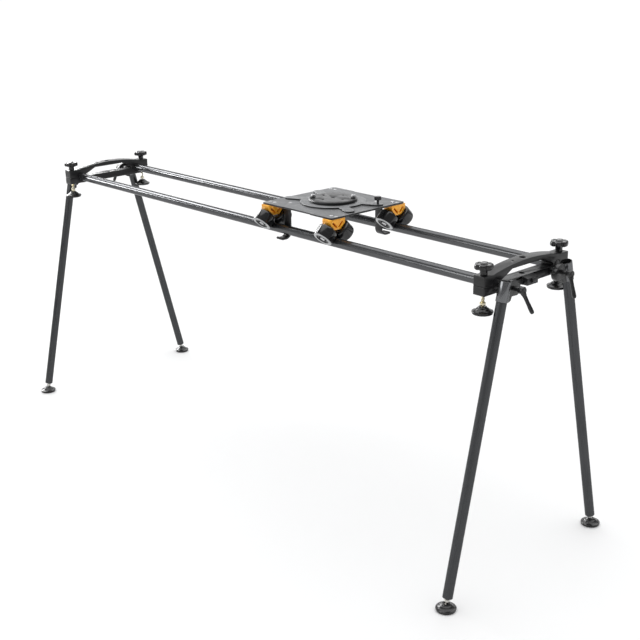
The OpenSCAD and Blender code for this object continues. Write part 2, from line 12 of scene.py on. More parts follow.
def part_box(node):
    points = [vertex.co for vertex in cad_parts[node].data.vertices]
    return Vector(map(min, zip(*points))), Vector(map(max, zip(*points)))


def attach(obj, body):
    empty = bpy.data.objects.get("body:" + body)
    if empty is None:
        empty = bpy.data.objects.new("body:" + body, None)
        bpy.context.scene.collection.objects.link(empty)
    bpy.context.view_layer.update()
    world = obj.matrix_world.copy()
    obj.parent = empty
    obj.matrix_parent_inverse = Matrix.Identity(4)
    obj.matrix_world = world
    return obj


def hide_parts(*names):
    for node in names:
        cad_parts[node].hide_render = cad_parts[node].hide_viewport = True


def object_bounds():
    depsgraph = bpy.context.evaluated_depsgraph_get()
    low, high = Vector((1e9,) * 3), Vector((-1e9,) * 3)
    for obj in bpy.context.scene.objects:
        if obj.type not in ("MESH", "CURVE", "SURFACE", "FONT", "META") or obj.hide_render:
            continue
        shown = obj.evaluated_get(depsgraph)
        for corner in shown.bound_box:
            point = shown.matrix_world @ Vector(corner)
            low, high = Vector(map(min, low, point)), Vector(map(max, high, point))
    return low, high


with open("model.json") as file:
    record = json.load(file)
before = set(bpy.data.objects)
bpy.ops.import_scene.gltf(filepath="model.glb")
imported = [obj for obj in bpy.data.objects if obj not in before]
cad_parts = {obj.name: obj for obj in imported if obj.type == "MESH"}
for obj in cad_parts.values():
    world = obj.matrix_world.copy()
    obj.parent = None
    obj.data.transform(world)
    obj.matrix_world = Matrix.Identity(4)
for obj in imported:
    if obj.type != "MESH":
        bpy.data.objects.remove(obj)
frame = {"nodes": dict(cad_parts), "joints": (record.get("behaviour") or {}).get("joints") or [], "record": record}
CAD_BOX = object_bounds()

MM = 0.001
SHARP = 32  # degrees: faces that meet at more than this make an edge
CORNERS = ("front_left", "rear_left", "front_right", "rear_right")
RECORD = frame["record"]
NODES = frame["nodes"]
BODY_OF = {n: b for b, group in RECORD["behaviour"]["bodies"].items() for n in group}
JOINTS = {j["child"]: j for j in frame["joints"]}


# ---- the bench: selecting, placing and finishing ---------------------------


def clear_selection():
    if bpy.context.object and bpy.context.object.mode != "OBJECT":
        bpy.ops.object.mode_set(mode="OBJECT")
    bpy.ops.object.select_all(action="DESELECT")


def pick(*pieces):
    clear_selection()
    for piece in pieces:
        piece.select_set(True)
    bpy.context.view_layer.objects.active = pieces[0]


def edit(piece):
    pick(piece)
    bpy.ops.object.mode_set(mode="EDIT")
    bpy.ops.mesh.select_all(action="SELECT")


def done():
    bpy.ops.object.mode_set(mode="OBJECT")


def centre(node):
    low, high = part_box(node)
    return (low + high) / 2


def smooth(piece, angle=SHARP):
    pick(piece)
    bpy.ops.object.shade_smooth_by_angle(angle=math.radians(angle))


def modify(piece, kind, **settings):
    """Adds a modifier and applies it."""
    pick(piece)
    modifier = piece.modifiers.new(kind.lower(), kind)
    for key, value in settings.items():
        setattr(modifier, key, value)
    bpy.ops.object.modifier_apply(modifier=modifier.name)


def round_edges(piece, width, segments=2):
    modify(
        piece,
        "BEVEL",
        width=width,
        segments=segments,
        limit_method="ANGLE",
        angle_limit=math.radians(SHARP),
        use_clamp_overlap=False,
    )
    smooth(piece, 40)


def join(name, *pieces):
    pick(*pieces)
    if len(pieces) > 1:
        bpy.ops.object.join()
    pieces[0].name = name
    return pieces[0]


def settle(piece):
    pick(piece)
    bpy.ops.object.transform_apply(location=True, rotation=True, scale=True)


def outward(piece):
    edit(piece)
    bpy.ops.mesh.remove_doubles(threshold=2e-6)
    bpy.ops.mesh.normals_make_consistent(inside=False)
    done()


def profile_steps(rings, start):
    """Extrudes what is selected through rings of (height, radius), in millimetres."""
    z, r = start
    for next_z, next_r in rings:
        bpy.ops.mesh.extrude_region_move(
            TRANSFORM_OT_translate={"value": (0, 0, (next_z - z) * MM)}
        )
        bpy.ops.transform.resize(
            value=(next_r / r, next_r / r, 1), center_override=(0, 0, 0)
        )
        z, r = next_z, next_r


def turned(name, rings, sides=64):
    """A solid piece turned on a lathe, closed at both ends."""
    clear_selection()
    bpy.ops.mesh.primitive_circle_add(
        vertices=sides,
        radius=rings[0][1] * MM,
        fill_type="NGON",
        location=(0, 0, rings[0][0] * MM),
    )
    piece = bpy.context.object
    piece.name = name
    settle(piece)
    edit(piece)
    profile_steps(rings[1:], rings[0])
    done()
    outward(piece)
    return piece


def ring(name, rings, sides=64):
    """A turned piece with a bore: the rings go once round its section."""
    clear_selection()
    bpy.ops.mesh.primitive_circle_add(
        vertices=sides, radius=rings[0][1] * MM, location=(0, 0, rings[0][0] * MM)
    )
    piece = bpy.context.object
    piece.name = name
    settle(piece)
    edit(piece)
    profile_steps(rings[1:] + rings[:1], rings[0])
    done()
    outward(piece)
    return piece


def upright(point, axis):
    """The matrix that stands a piece made along +Z on a point, along an axis."""
    axis = Vector(axis).normalized()
    lean = Vector((0, 0, 1)).rotation_difference(axis).to_matrix().to_4x4()
    return Matrix.Translation(point) @ lean


def copy_to(pattern, name, place):
    """A copy with its own mesh, with its place in the mesh."""
    piece = pattern.copy()
    piece.data = pattern.data.copy()
    piece.name = name
    piece.data.transform(place)
    if place.determinant() < 0:
        piece.data.flip_normals()
    bpy.context.scene.collection.objects.link(piece)
    return piece


def scrap(*patterns):
    for pattern in patterns:
        bpy.data.objects.remove(pattern)


def paint(piece, material):
    piece.data.materials.clear()
    piece.data.materials.append(material)


def fit_out(piece, node, material, stands_for=True):
    """Gives a piece its finish and its place in the mechanism."""
    paint(piece, material)
    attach(piece, BODY_OF[node])
    if stands_for:
        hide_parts(node)
    return piece


# ---- finishes --------------------------------------------------------------


class Finish:
    """A procedural finish built up from layers of grain, tone and wear."""

    def __init__(self, name, metallic=0.0, specular=0.5, coat=0.0, coat_rough=0.1):
        self.material = bpy.data.materials.new(name)
        self.material.use_nodes = True
        self.tree = self.material.node_tree
        self.shader = self.tree.nodes["Principled BSDF"]
        self.shader.inputs["Metallic"].default_value = metallic
        self.shader.inputs["Specular IOR Level"].default_value = specular
        self.shader.inputs["Coat Weight"].default_value = coat
        self.shader.inputs["Coat Roughness"].default_value = coat_rough
        self.place = self.node("ShaderNodeTexCoord").outputs["Object"]
        self.normal = None

    def node(self, kind, **settings):
        made = self.tree.nodes.new(kind)
        for key, value in settings.items():
            setattr(made, key, value)
        return made

    def wire(self, start, end):
        self.tree.links.new(start, end)

    def noise(self, scale, detail=3.0, rough=0.55, stretch=(1, 1, 1), lean=(0, 0, 0)):
        """Noise on the piece's own coordinates, drawn out where stretch is small."""
        turned_to = self.node("ShaderNodeMapping")
        turned_to.inputs["Rotation"].default_value = lean
        self.wire(self.place, turned_to.inputs["Vector"])
        drawn = self.node("ShaderNodeMapping")
        drawn.inputs["Scale"].default_value = stretch
        self.wire(turned_to.outputs["Vector"], drawn.inputs["Vector"])
        pattern = self.node("ShaderNodeTexNoise")
        pattern.inputs["Scale"].default_value = scale
        pattern.inputs["Detail"].default_value = detail
        pattern.inputs["Roughness"].default_value = rough
        self.wire(drawn.outputs["Vector"], pattern.inputs["Vector"])
        return pattern.outputs["Fac"]

    def spread(self, value, low, high, out_low, out_high):
        """Stretches a value's low..high onto out_low..out_high."""
        ranged = self.node("ShaderNodeMapRange")
        for key, number in (
            ("From Min", low),
            ("From Max", high),
            ("To Min", out_low),
            ("To Max", out_high),
        ):
            ranged.inputs[key].default_value = number
        self.wire(value, ranged.inputs["Value"])
        return ranged.outputs["Result"]

    def math(self, operation, a, b):
        sums = self.node("ShaderNodeMath", operation=operation)
        for socket, value in zip(sums.inputs, (a, b)):
            if isinstance(value, (int, float)):
                socket.default_value = value
            else:
                self.wire(value, socket)
        return sums.outputs["Value"]

    def tone(self, share, first, second):
        """A colour between two: each is a colour or another tone's output."""
        mixed = self.node("ShaderNodeMix", data_type="RGBA")
        self.wire(share, mixed.inputs["Factor"])
        for socket, value in ((mixed.inputs[6], first), (mixed.inputs[7], second)):
            if isinstance(value, tuple):
                socket.default_value = (*value, 1)
            else:
                self.wire(value, socket)
        return mixed.outputs[2]

    def colour(self, output):
        self.wire(output, self.shader.inputs["Base Color"])

    def rough(self, output):
        self.wire(output, self.shader.inputs["Roughness"])

    def relief(self, height, depth, strength=1.0):
        """Presses a height pattern into the surface, depth in metres."""
        pressed = self.node("ShaderNodeBump")
        pressed.inputs["Distance"].default_value = depth
        pressed.inputs["Strength"].default_value = strength
        self.wire(height, pressed.inputs["Height"])
        if self.normal is not None:
            self.wire(self.normal, pressed.inputs["Normal"])
        self.normal = pressed.outputs["Normal"]
        self.wire(self.normal, self.shader.inputs["Normal"])

    # The paler edges this mask gives are part wear and part painted highlight.
    def edge_wear_and_highlight(self, radius, breakup):
        """1 along a piece's edges and 0 on its faces, broken up by a pattern."""
        eased = self.node("ShaderNodeBevel", samples=4)
        eased.inputs["Radius"].default_value = radius
        true = self.node("ShaderNodeNewGeometry")
        dot = self.node("ShaderNodeVectorMath", operation="DOT_PRODUCT")
        self.wire(eased.outputs["Normal"], dot.inputs[0])
        self.wire(true.outputs["Normal"], dot.inputs[1])
        edge = self.spread(dot.outputs["Value"], 0.995, 0.9, 0.0, 1.0)
        return self.math("MULTIPLY", edge, breakup)

    def height_share(self, low, high):
        """0 at height low and 1 at height high, in metres."""
        axes = self.node("ShaderNodeSeparateXYZ")
        self.wire(self.place, axes.inputs["Vector"])
        return self.spread(axes.outputs["Z"], low, high, 0.0, 1.0)


def drawn_tube(name, dark, light, roughness, stretch, lean=(0, 0, 0)):
    """Black anodised tube, with fine drawing lines along it and a few rub marks."""
    f = Finish(name, metallic=0.75, specular=0.45, coat=0.12, coat_rough=0.16)
    f.shader.inputs["Specular Tint"].default_value = (0.45, 0.45, 0.46, 1)
    lines = f.noise(620, 3, 0.6, stretch, lean)
    broad = f.noise(9, 3, 0.5)
    rubs = f.spread(f.noise(46, 5, 0.7, stretch, lean), 0.66, 0.8, 0.0, 0.6)
    base = f.tone(broad, dark, light)
    base = f.tone(f.spread(lines, 0.3, 0.75, 0.0, 0.4), base, tuple(1.5 * c for c in light))
    f.colour(f.tone(f.math("MULTIPLY", rubs, 0.35), base, (0.26, 0.26, 0.27)))
    haze = f.spread(broad, 0.3, 0.7, 0.0, 0.06)
    f.rough(f.math("ADD", f.spread(lines, 0.2, 0.8, roughness, roughness + 0.09), haze))
    f.relief(lines, 0.00003, 0.35)
    return f.material


def black_casting(name, gloss):
    """Black powder coat over aluminium: fine orange peel, paler at the edges, partly rub wear and partly a painted
    highlight.
    """
    coat, coat_rough = 0.1 + gloss, 0.28 - 0.3 * gloss
    f = Finish(name, metallic=gloss / 2, specular=0.34, coat=coat, coat_rough=coat_rough)
    peel = f.noise(900, 2, 0.5)
    swell = f.noise(170, 2, 0.5)
    broad = f.noise(14, 4, 0.6)
    speck = f.spread(f.noise(1500, 2, 0.5), 0.62, 0.72, 0.0, 1.0)
    base = f.tone(broad, (0.006, 0.006, 0.0065), (0.013, 0.013, 0.014))
    base = f.tone(f.math("MULTIPLY", speck, 0.3), base, (0.05, 0.05, 0.053))
    # Paler edges: part rub wear, part painted highlight.
    worn = f.edge_wear_and_highlight(0.0011, f.spread(f.noise(60, 4, 0.65), 0.42, 0.7, 0.15, 0.9))
    f.colour(f.tone(worn, base, (0.1, 0.1, 0.105)))
    f.rough(f.spread(peel, 0.3, 0.7, 0.3 - gloss / 4, 0.46 - gloss / 4))
    f.relief(swell, 0.00012, 0.35)
    f.relief(peel, 0.00007, 0.7)
    return f.material


def passivated_zinc(name, warm, cool):
    """Bright zinc plating with a drifting passivated tint and tool marks."""
    f = Finish(name, metallic=1.0)
    drift = f.noise(38, 4, 0.6)
    marks = f.noise(700, 3, 0.6, (1, 1, 6))
    dull = f.spread(f.noise(210, 4, 0.65), 0.5, 0.72, 0.0, 0.7)
    base = f.tone(f.spread(drift, 0.35, 0.65, 0, 1), cool, warm)
    f.colour(f.tone(dull, base, tuple(0.62 * c for c in cool)))
    polish = f.spread(marks, 0.25, 0.75, 0.22, 0.42)
    f.rough(f.math("ADD", polish, f.math("MULTIPLY", dull, 0.12)))
    f.relief(marks, 0.00003, 0.5)
    return f.material


def moulded_plastic(name, base_dark, base_light, rough_low, rough_high, coat, dusty=None):
    """Glossy black moulding, with a little flow in the gloss and handling haze."""
    f = Finish(name, specular=0.4, coat=coat, coat_rough=0.12)
    flow = f.noise(26, 3, 0.5)
    haze = f.noise(130, 5, 0.7)
    pores = f.noise(1300, 2, 0.5)
    base = f.tone(flow, base_dark, base_light)
    if dusty:
        low, high = dusty
        near_floor = f.math("SUBTRACT", 1.0, f.height_share(low, high))
        film = f.math("MULTIPLY", near_floor, f.spread(f.noise(90, 5, 0.7), 0.4, 0.7, 0.05, 0.5))
        base = f.tone(film, base, (0.16, 0.155, 0.145))
    f.colour(base)
    f.rough(f.spread(haze, 0.3, 0.75, rough_low, rough_high))
    f.relief(flow, 0.0003, 0.12)
    f.relief(pores, 0.00003, 0.35)
    return f.material


def blasted_plate():
    """Charcoal anodised plate with a bead-blasted face and paler edges, partly rubbed and partly a painted
    highlight.
    """
    f = Finish("charcoal_anodised_plate", metallic=0.75, specular=0.5)
    blast = f.noise(1600, 2, 0.5)
    cloud = f.noise(11, 4, 0.6)
    scuffs = f.spread(f.noise(24, 6, 0.75, (1, 7, 1), (0, 0, 0.6)), 0.62, 0.74, 0.0, 0.5)
    base = f.tone(cloud, (0.1, 0.102, 0.106), (0.16, 0.163, 0.168))
    base = f.tone(f.spread(blast, 0.35, 0.7, 0.0, 0.5), base, (0.24, 0.243, 0.25))
    base = f.tone(scuffs, base, (0.3, 0.3, 0.305))
    # Paler edges: part rub wear, part painted highlight.
    worn = f.edge_wear_and_highlight(0.0009, f.spread(f.noise(75, 4, 0.6), 0.4, 0.7, 0.1, 0.8))
    f.colour(f.tone(worn, base, (0.42, 0.42, 0.43)))
    f.rough(f.spread(blast, 0.3, 0.7, 0.4, 0.56))
    f.relief(blast, 0.00008, 0.6)
    return f.material


def orange_anodised():
    """Orange anodised blocks, milled along the rails, paler where the edges break, partly wear and partly a
    painted highlight.
    """
    f = Finish("orange_anodised", metallic=0.3, specular=0.5, coat=0.35, coat_rough=0.08)
    milled = f.noise(520, 3, 0.6, (0.06, 1, 1))
    cloud = f.noise(30, 3, 0.5)
    nicks = f.spread(f.noise(160, 5, 0.7), 0.67, 0.76, 0.0, 0.7)
    base = f.tone(cloud, (0.96, 0.32, 0.004), (1.0, 0.47, 0.01))
    base = f.tone(f.spread(milled, 0.35, 0.75, 0.0, 0.45), base, (1.0, 0.58, 0.03))
    base = f.tone(nicks, base, (0.62, 0.16, 0.008))
    # Pale yellow edges: part wear, part painted highlight.
    worn = f.edge_wear_and_highlight(0.0009, f.spread(f.noise(90, 3, 0.6), 0.35, 0.65, 0.2, 1.0))
    f.colour(f.tone(worn, base, (1.0, 0.66, 0.24)))
    f.rough(f.spread(milled, 0.2, 0.8, 0.24, 0.4))
    f.relief(milled, 0.00004, 0.5)
    return f.material


def wheel_tyre():
    """Black polyurethane tyre: glossy, with fine running marks."""
    f = Finish("black_polyurethane", specular=0.35, coat=0.35, coat_rough=0.06)
    scuff = f.noise(240, 5, 0.7)
    broad = f.noise(34, 3, 0.5)
    worn = f.spread(scuff, 0.45, 0.75, 0, 1)
    f.colour(f.tone(worn, (0.005, 0.005, 0.0055), (0.018, 0.018, 0.019)))
    polish = f.spread(scuff, 0.3, 0.75, 0.08, 0.18)
    f.rough(f.math("ADD", polish, f.spread(broad, 0.3, 0.7, 0, 0.05)))
    f.relief(scuff, 0.00002, 0.25)
    return f.material


def machined_metal(name, dark, light, rough_low, rough_high, metallic=1.0):
    """Plain machined metal with turning marks and a duller film in places."""
    f = Finish(name, metallic=metallic)
    marks = f.noise(900, 3, 0.6)
    film = f.noise(70, 4, 0.6)
    f.colour(f.tone(f.spread(film, 0.3, 0.7, 0, 1), dark, light))
    polish = f.spread(marks, 0.25, 0.75, rough_low, rough_high)
    f.rough(f.math("ADD", polish, f.spread(film, 0.4, 0.7, 0.08, 0.0)))
    f.relief(marks, 0.00003, 0.5)
    return f.material


LEG_LEAN = math.radians(13.2)
LEG_TONES = (0.036, 0.037, 0.039), (0.066, 0.068, 0.071), 0.2
ALONG_X, ALONG_Z = (0.03, 1, 1), (1, 1, 0.03)
RAIL_BLACK = drawn_tube(
    "black_anodised_rail", (0.062, 0.063, 0.066), (0.105, 0.107, 0.11), 0.13, ALONG_X
)
LEG_BLACK = {
    -1: drawn_tube("black_anodised_front_legs", *LEG_TONES, ALONG_Z, (LEG_LEAN, 0, 0)),
    1: drawn_tube("black_anodised_rear_legs", *LEG_TONES, ALONG_Z, (-LEG_LEAN, 0, 0)),
}
SLEEVE_BLACK = drawn_tube(
    "turned_sleeve", (0.1, 0.102, 0.106), (0.17, 0.173, 0.178), 0.12, (1, 1, 0.4)
)
CAST_BLACK = black_casting("black_powder_coat", 0.0)
SOCKET_BLACK = black_casting("gloss_powder_coat", 0.2)
STUD_ZINC = passivated_zinc("zinc_plated_stud", (0.66, 0.58, 0.36), (0.7, 0.69, 0.65))
FOOT_ZINC = passivated_zinc("zinc_plated_foot", (0.62, 0.6, 0.54), (0.68, 0.68, 0.68))
BRIGHT = machined_metal("bright_steel", (0.5, 0.5, 0.51), (0.74, 0.74, 0.75), 0.16, 0.32)
BEARING = machined_metal("bearing_steel", (0.3, 0.3, 0.31), (0.5, 0.5, 0.51), 0.2, 0.38)
HUB_BLACK = machined_metal(
    "wheel_hub_black", (0.02, 0.0205, 0.021), (0.045, 0.046, 0.047), 0.2, 0.34, 0.6
)
RIM_GREY = machined_metal(
    "wheel_rim_grey", (0.3, 0.305, 0.31), (0.48, 0.485, 0.49), 0.2, 0.34
)
KNOB_BLACK = moulded_plastic(
    "phenolic_knob", (0.004, 0.004, 0.0045), (0.008, 0.008, 0.009), 0.1, 0.2, 0.15
)
DUST_TOP = 0.008
PAD_BLACK = moulded_plastic(
    "foot_pad_plastic",
    (0.005, 0.005, 0.0055),
    (0.011, 0.011, 0.012),
    0.2,
    0.34,
    0.12,
    (0.0, DUST_TOP),
)
PLUG_BLACK = moulded_plastic(
    "end_plug_plastic", (0.01, 0.01, 0.011), (0.02, 0.02, 0.021), 0.34, 0.5, 0.05
)
LEVER_BLACK = moulded_plastic(
    "lever_black", (0.006, 0.006, 0.0065), (0.013, 0.013, 0.014), 0.24, 0.4, 0.15
)
PLATE_GREY = blasted_plate()
BRACKET_ORANGE = orange_anodised()
TYRE_BLACK = wheel_tyre()
HOOK_BLACK = machined_metal(
    "black_oxide_steel", (0.009, 0.009, 0.01), (0.022, 0.022, 0.024), 0.26, 0.4, 0.3
)
FLANGE_BLACK = machined_metal(
    "black_anodised_flange", (0.008, 0.008, 0.009), (0.018, 0.018, 0.02), 0.22, 0.36, 0.3
)
ADAPTER_GREY = machined_metal(
    "grey_anodised_adapter", (0.14, 0.143, 0.147), (0.22, 0.224, 0.23), 0.3, 0.46, 0.85
)
# Painted shade: a near-black finish given to the upright sides of the plate and the adapter, which darkens them.
SIDE_SHADE_BLACK = machined_metal(
    "painted_shade_sides", (0.012, 0.012, 0.013), (0.028, 0.028, 0.03), 0.34, 0.5, 0.3
)


# ---- machined and cast pieces: their edges eased ---------------------------


def eased(node, width, material, segments=2):
    """A finished copy of a machined piece, with its sharp edges broken."""
    piece = bpy.data.objects.new(node + "_eased", NODES[node].data.copy())
    bpy.context.scene.collection.objects.link(piece)
    edit(piece)
    bpy.ops.mesh.remove_doubles(threshold=1e-5)
    bpy.ops.mesh.customdata_custom_splitnormals_clear()
    bpy.ops.mesh.dissolve_limited(angle_limit=math.radians(0.6))
    done()
    round_edges(piece, width, segments)
    return fit_out(piece, node, material)


def refinish(piece, material, chosen):
    """Gives the chosen faces of a piece a finish of their own."""
    piece.data.materials.append(material)
    for face in piece.data.polygons:
        if chosen(face):
            face.material_index = len(piece.data.materials) - 1


def upright_face(face):
    return abs(face.normal.z) < 0.3


for end in ("left", "right"):
    eased("handle_" + end, 0.0012, CAST_BLACK, 3)
    eased("crossbar_" + end, 0.001, CAST_BLACK)
for corner in CORNERS:
    eased("bracket_" + corner, 0.0008, BRACKET_ORANGE)
eased("frame_bolts", 0.0005, HOOK_BLACK)
eased("rail_end_plugs", 0.0005, PLUG_BLACK)
# The upright sides of the plate and the adapter get the painted-shade finish, darker than their tops.
refinish(eased("carriage_plate", 0.0006, PLATE_GREY), SIDE_SHADE_BLACK, upright_face)
eased("safety_hooks", 0.0006, HOOK_BLACK)
eased("carriage_screws", 0.0003, BRIGHT)
eased("axle_bolts", 0.0004, BRIGHT)
eased("wheel_bearings", 0.0002, BEARING)
refinish(eased("head_adapter", 0.0005, ADAPTER_GREY), SIDE_SHADE_BLACK, upright_face)
eased("head_flange", 0.0005, FLANGE_BLACK)


# ---- tubes -----------------------------------------------------------------


def tube(name, length, outer, wall, sides=64):
    """A drawn tube along +Z from the origin, with broken end edges."""
    r, bore, ease = outer / 2, outer / 2 - wall, 0.35
    return ring(
        name,
        [
            (0, bore),
            (0, r - ease),
            (ease, r),
            *[(length * step / 12, r) for step in range(1, 12)],
            (length - ease, r),
            (length, r - ease),
            (length, bore),
        ],
        sides,
    )


TUBE_D, TUBE_WALL = 25, 2
rail_low, rail_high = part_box("rail_front")
rail_pattern = tube("rail_pattern", (rail_high.x - rail_low.x) / MM, TUBE_D, TUBE_WALL)
smooth(rail_pattern)
for node in ("rail_front", "rail_rear"):
    low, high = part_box(node)
    start = Vector((low.x, (low.y + high.y) / 2, (low.z + high.z) / 2))
    piece = copy_to(rail_pattern, node + "_tube", upright(start, (1, 0, 0)))
    fit_out(piece, node, RAIL_BLACK)
scrap(rail_pattern)


def side_of(corner):
    return -1 if corner.startswith("front") else 1


def end_of(corner):
    return -1 if corner.endswith("left") else 1


def leg_axis(corner):
    """The way up a leg, from its foot to its socket."""
    return Vector((0, -side_of(corner) * math.sin(LEG_LEAN), math.cos(LEG_LEAN)))


leg_low, leg_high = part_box("leg_tube_front_left")
leg_rise = leg_high.z - leg_low.z - TUBE_D * MM * math.sin(LEG_LEAN)
leg_len = leg_rise / math.cos(LEG_LEAN)
leg_pattern = tube("leg_pattern", leg_len / MM, TUBE_D, TUBE_WALL)
plug_pattern = ring(
    "plug_pattern",
    [(0.5, 4.4), (0, 4.9), (0, 9.8), (0.5, 10.4), (16, 10.4), (16, 4.1), (1, 4.1)],
)
leg_pattern = join("leg_pattern", leg_pattern, plug_pattern)
smooth(leg_pattern)
for corner in CORNERS:
    node = "leg_tube_" + corner
    foot = centre(node) - leg_axis(corner) * leg_len / 2
    piece = copy_to(leg_pattern, node + "_drawn", upright(foot, leg_axis(corner)))
    fit_out(piece, node, LEG_BLACK[side_of(corner)])
scrap(leg_pattern)

SLEEVE_R = 14.55


def sleeve_faces(corner):
    """Picks the outside of a socket's sleeve, which is turned bright after casting."""
    on_axis, along = centre("leg_tube_" + corner), leg_axis(corner)

    def on_sleeve(face):
        out = face.center - on_axis
        out -= along * out.dot(along)
        near = abs(out.length - SLEEVE_R * MM) < 0.5 * MM
        return near and face.normal.dot(out.normalized()) > 0.9

    return on_sleeve


for corner in CORNERS:
    socket = eased("leg_socket_" + corner, 0.0012, SOCKET_BLACK, 3)
    refinish(socket, SLEEVE_BLACK, sleeve_faces(corner))


# ---- levelling feet: pad, ball stud with its hexagon and thread ------------

BALL_UP = 10.5  # ball's centre above a pad's sole
BALL_R = 6.0
SOCKET_R = 6.05
HEX_ACROSS, HEX_LOW, HEX_HIGH = 13, 10.8, 16.8
STUD_R, STUD_PITCH = 4.0, 1.25


def ball_rings(radius, centre_z, start, stop, steps):
    """Rings round a ball between two heights."""
    rings = []
    for step in range(steps + 1):
        z = start + (stop - start) * step / steps
        rings.append((z, math.sqrt(max(radius**2 - (z - centre_z) ** 2, 0.16))))
    return rings


def foot_pad():
    """Stepped sole, sloping shoulder, and a throat down to the ball's socket."""
    pad = turned(
        "pad_pattern",
        [
            (0, 22.6),
            (0.7, 23.6),
            (2.0, 23.7),
            (2.3, 23.1),
            (2.8, 23.1),
            (3.2, 24.7),
            (4.2, 25.0),
            (6.0, 25.0),
            (6.8, 24.5),
            (7.1, 23.4),
            (7.5, 21.6),
            (8.4, 19.4),
            (10.2, 16.8),
            (12.2, 14.9),
            (13.8, 13.2),
            (14.2, 12.1),
            (15.6, 10.6),
            (17.2, 9.6),
            (17.8, 9.0),
            (18.0, 8.0),
            (18.0, 6.3),
            (17.5, 5.3),
            *ball_rings(SOCKET_R, BALL_UP, 15.1, 4.5, 9),
        ],
        72,
    )
    smooth(pad, 28)
    return pad


def hexagon(name, across, low, high):
    """A hexagon with its corners chamfered."""
    clear_selection()
    bpy.ops.mesh.primitive_cylinder_add(
        vertices=6,
        radius=across / 2 / math.cos(math.radians(30)) * MM,
        depth=(high - low) * MM,
        location=(0, 0, (low + high) / 2 * MM),
    )
    piece = bpy.context.object
    piece.name = name
    settle(piece)
    round_edges(piece, 0.0005, 2)
    return piece


def thread_rings(low, high, radius, pitch):
    """The crests and roots of a thread, with a run-out at either end."""
    depth = 0.55 * pitch
    rings = [(low, radius - depth)]
    z = low + 0.5
    while z + pitch < high - 0.5:
        rings += [
            (z, radius - depth),
            (z + 0.38 * pitch, radius - 0.03),
            (z + 0.52 * pitch, radius - 0.03),
            (z + 0.88 * pitch, radius - depth),
        ]
        z += pitch
    return rings + [(high - 0.6, radius - 0.2), (high, radius - 0.8)]


def foot_stud(name, length):
    """Ball, neck, hexagon and thread, with the ball's centre at the origin."""
    ball = ball_rings(BALL_R, 0, -5.99, 5.19, 12)
    neck = turned(name + "_neck", ball + [(6.0, 3.0), (HEX_LOW + 0.4, 3.0)], 48)
    smooth(neck)
    hexed = hexagon(name + "_hex", HEX_ACROSS, HEX_LOW, HEX_HIGH)
    coils = thread_rings(HEX_HIGH - 0.4, length, STUD_R, STUD_PITCH)
    thread = turned(name + "_thread", coils, 32)
    smooth(thread, 50)
    return join(name, neck, hexed, thread)


pad_pattern = foot_pad()
leg_stud = foot_stud("leg_stud_pattern", 62)
clamp_stud = foot_stud("clamp_stud_pattern", 44.5)
for corner in CORNERS:
    for kind, stud, axis, zinc in (
        ("leg_foot", leg_stud, leg_axis(corner), FOOT_ZINC),
        ("clamp_foot", clamp_stud, Vector((0, 0, 1)), STUD_ZINC),
    ):
        pad_node = f"{kind}_pad_{corner}"
        stud_node = f"{kind}_stud_{corner}"
        sole = centre(pad_node)
        sole.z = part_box(pad_node)[0].z
        pad = copy_to(pad_pattern, pad_node + "_moulded", Matrix.Translation(sole))
        fit_out(pad, pad_node, PAD_BLACK)
        ball = sole + Vector((0, 0, BALL_UP * MM))
        screw = copy_to(stud, stud_node + "_threaded", upright(ball, axis))
        fit_out(screw, stud_node, zinc)
scrap(pad_pattern, leg_stud, clamp_stud)


# ---- clamp knobs -----------------------------------------------------------


def clamp_knob():
    """Six-lobed head with a capped dish, on a waisted neck. The cap's top is z = 0."""
    head = turned(
        "knob_head",
        [
            (-27.6, 9.0),
            (-25.5, 9.0),
            (-20, 8.6),
            (-16.2, 9.6),
            (-14.6, 13.0),
            (-14.2, 18.0),
            (-13.6, 20.2),
            (-12.4, 21.5),
            (-11.2, 22.0),
            (-5.2, 22.0),
            (-3.6, 21.6),
            (-2.4, 20.6),
            (-1.7, 19.0),
            (-1.6, 17.4),
            (-1.9, 15.6),
            (-2.8, 13.4),
            (-3.0, 11.4),
            (-2.8, 9.2),
            (-1.9, 8.3),
            (-1.7, 7.9),
            (-1.9, 7.5),
            (-0.6, 7.4),
            (-0.1, 6.9),
            (0.0, 6.0),
        ],
        120,
    )
    lobes, waist, depth = 6, math.radians(16.5), 0.2
    rim_in, rim_low = 14.5 * MM, -15 * MM
    columns = {}
    for vertex in head.data.vertices:
        if vertex.co.xy.length > rim_in and vertex.co.z > rim_low:
            turn = math.atan2(vertex.co.y, vertex.co.x) % (2 * math.pi / lobes)
            away = abs(turn - math.pi / lobes)
            if away < waist:
                pull = 1 - depth * (0.5 + 0.5 * math.cos(math.pi * away / waist))
                columns.setdefault(round(pull, 4), []).append(vertex.index)
    for pull, column in columns.items():
        edit(head)
        bpy.ops.mesh.select_all(action="DESELECT")
        done()
        for index in column:
            head.data.vertices[index].select = True
        bpy.ops.object.mode_set(mode="EDIT")
        bpy.ops.transform.resize(value=(pull, pull, 1), center_override=(0, 0, 0))
        done()
    smooth(head, 38)
    bolt = turned("knob_bolt", [(-58.6, 3.4), (-58.0, 4.0), (-26.6, 4.0)], 32)
    smooth(bolt)
    return join("knob_pattern", head, bolt)


knob_pattern = clamp_knob()
for corner in CORNERS:
    node = "clamp_knob_" + corner
    top = centre(node)
    top.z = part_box(node)[1].z
    piece = copy_to(knob_pattern, node + "_moulded", Matrix.Translation(top))
    fit_out(piece, node, KNOB_BLACK)
scrap(knob_pattern)
eased("adapter_knob", 0.0005, KNOB_BLACK)


# ---- ratchet levers --------------------------------------------------------

LEVER_OUT = 30.3  # from the clamp's face to the lever's stub
HUB_MID = 23.0  # from the stub to the middle of the hub
ARM_LEAN = math.radians(24)  # outwards, from hanging straight down
LEVER_TURN = math.radians(12)  # inwards, towards the middle of the end


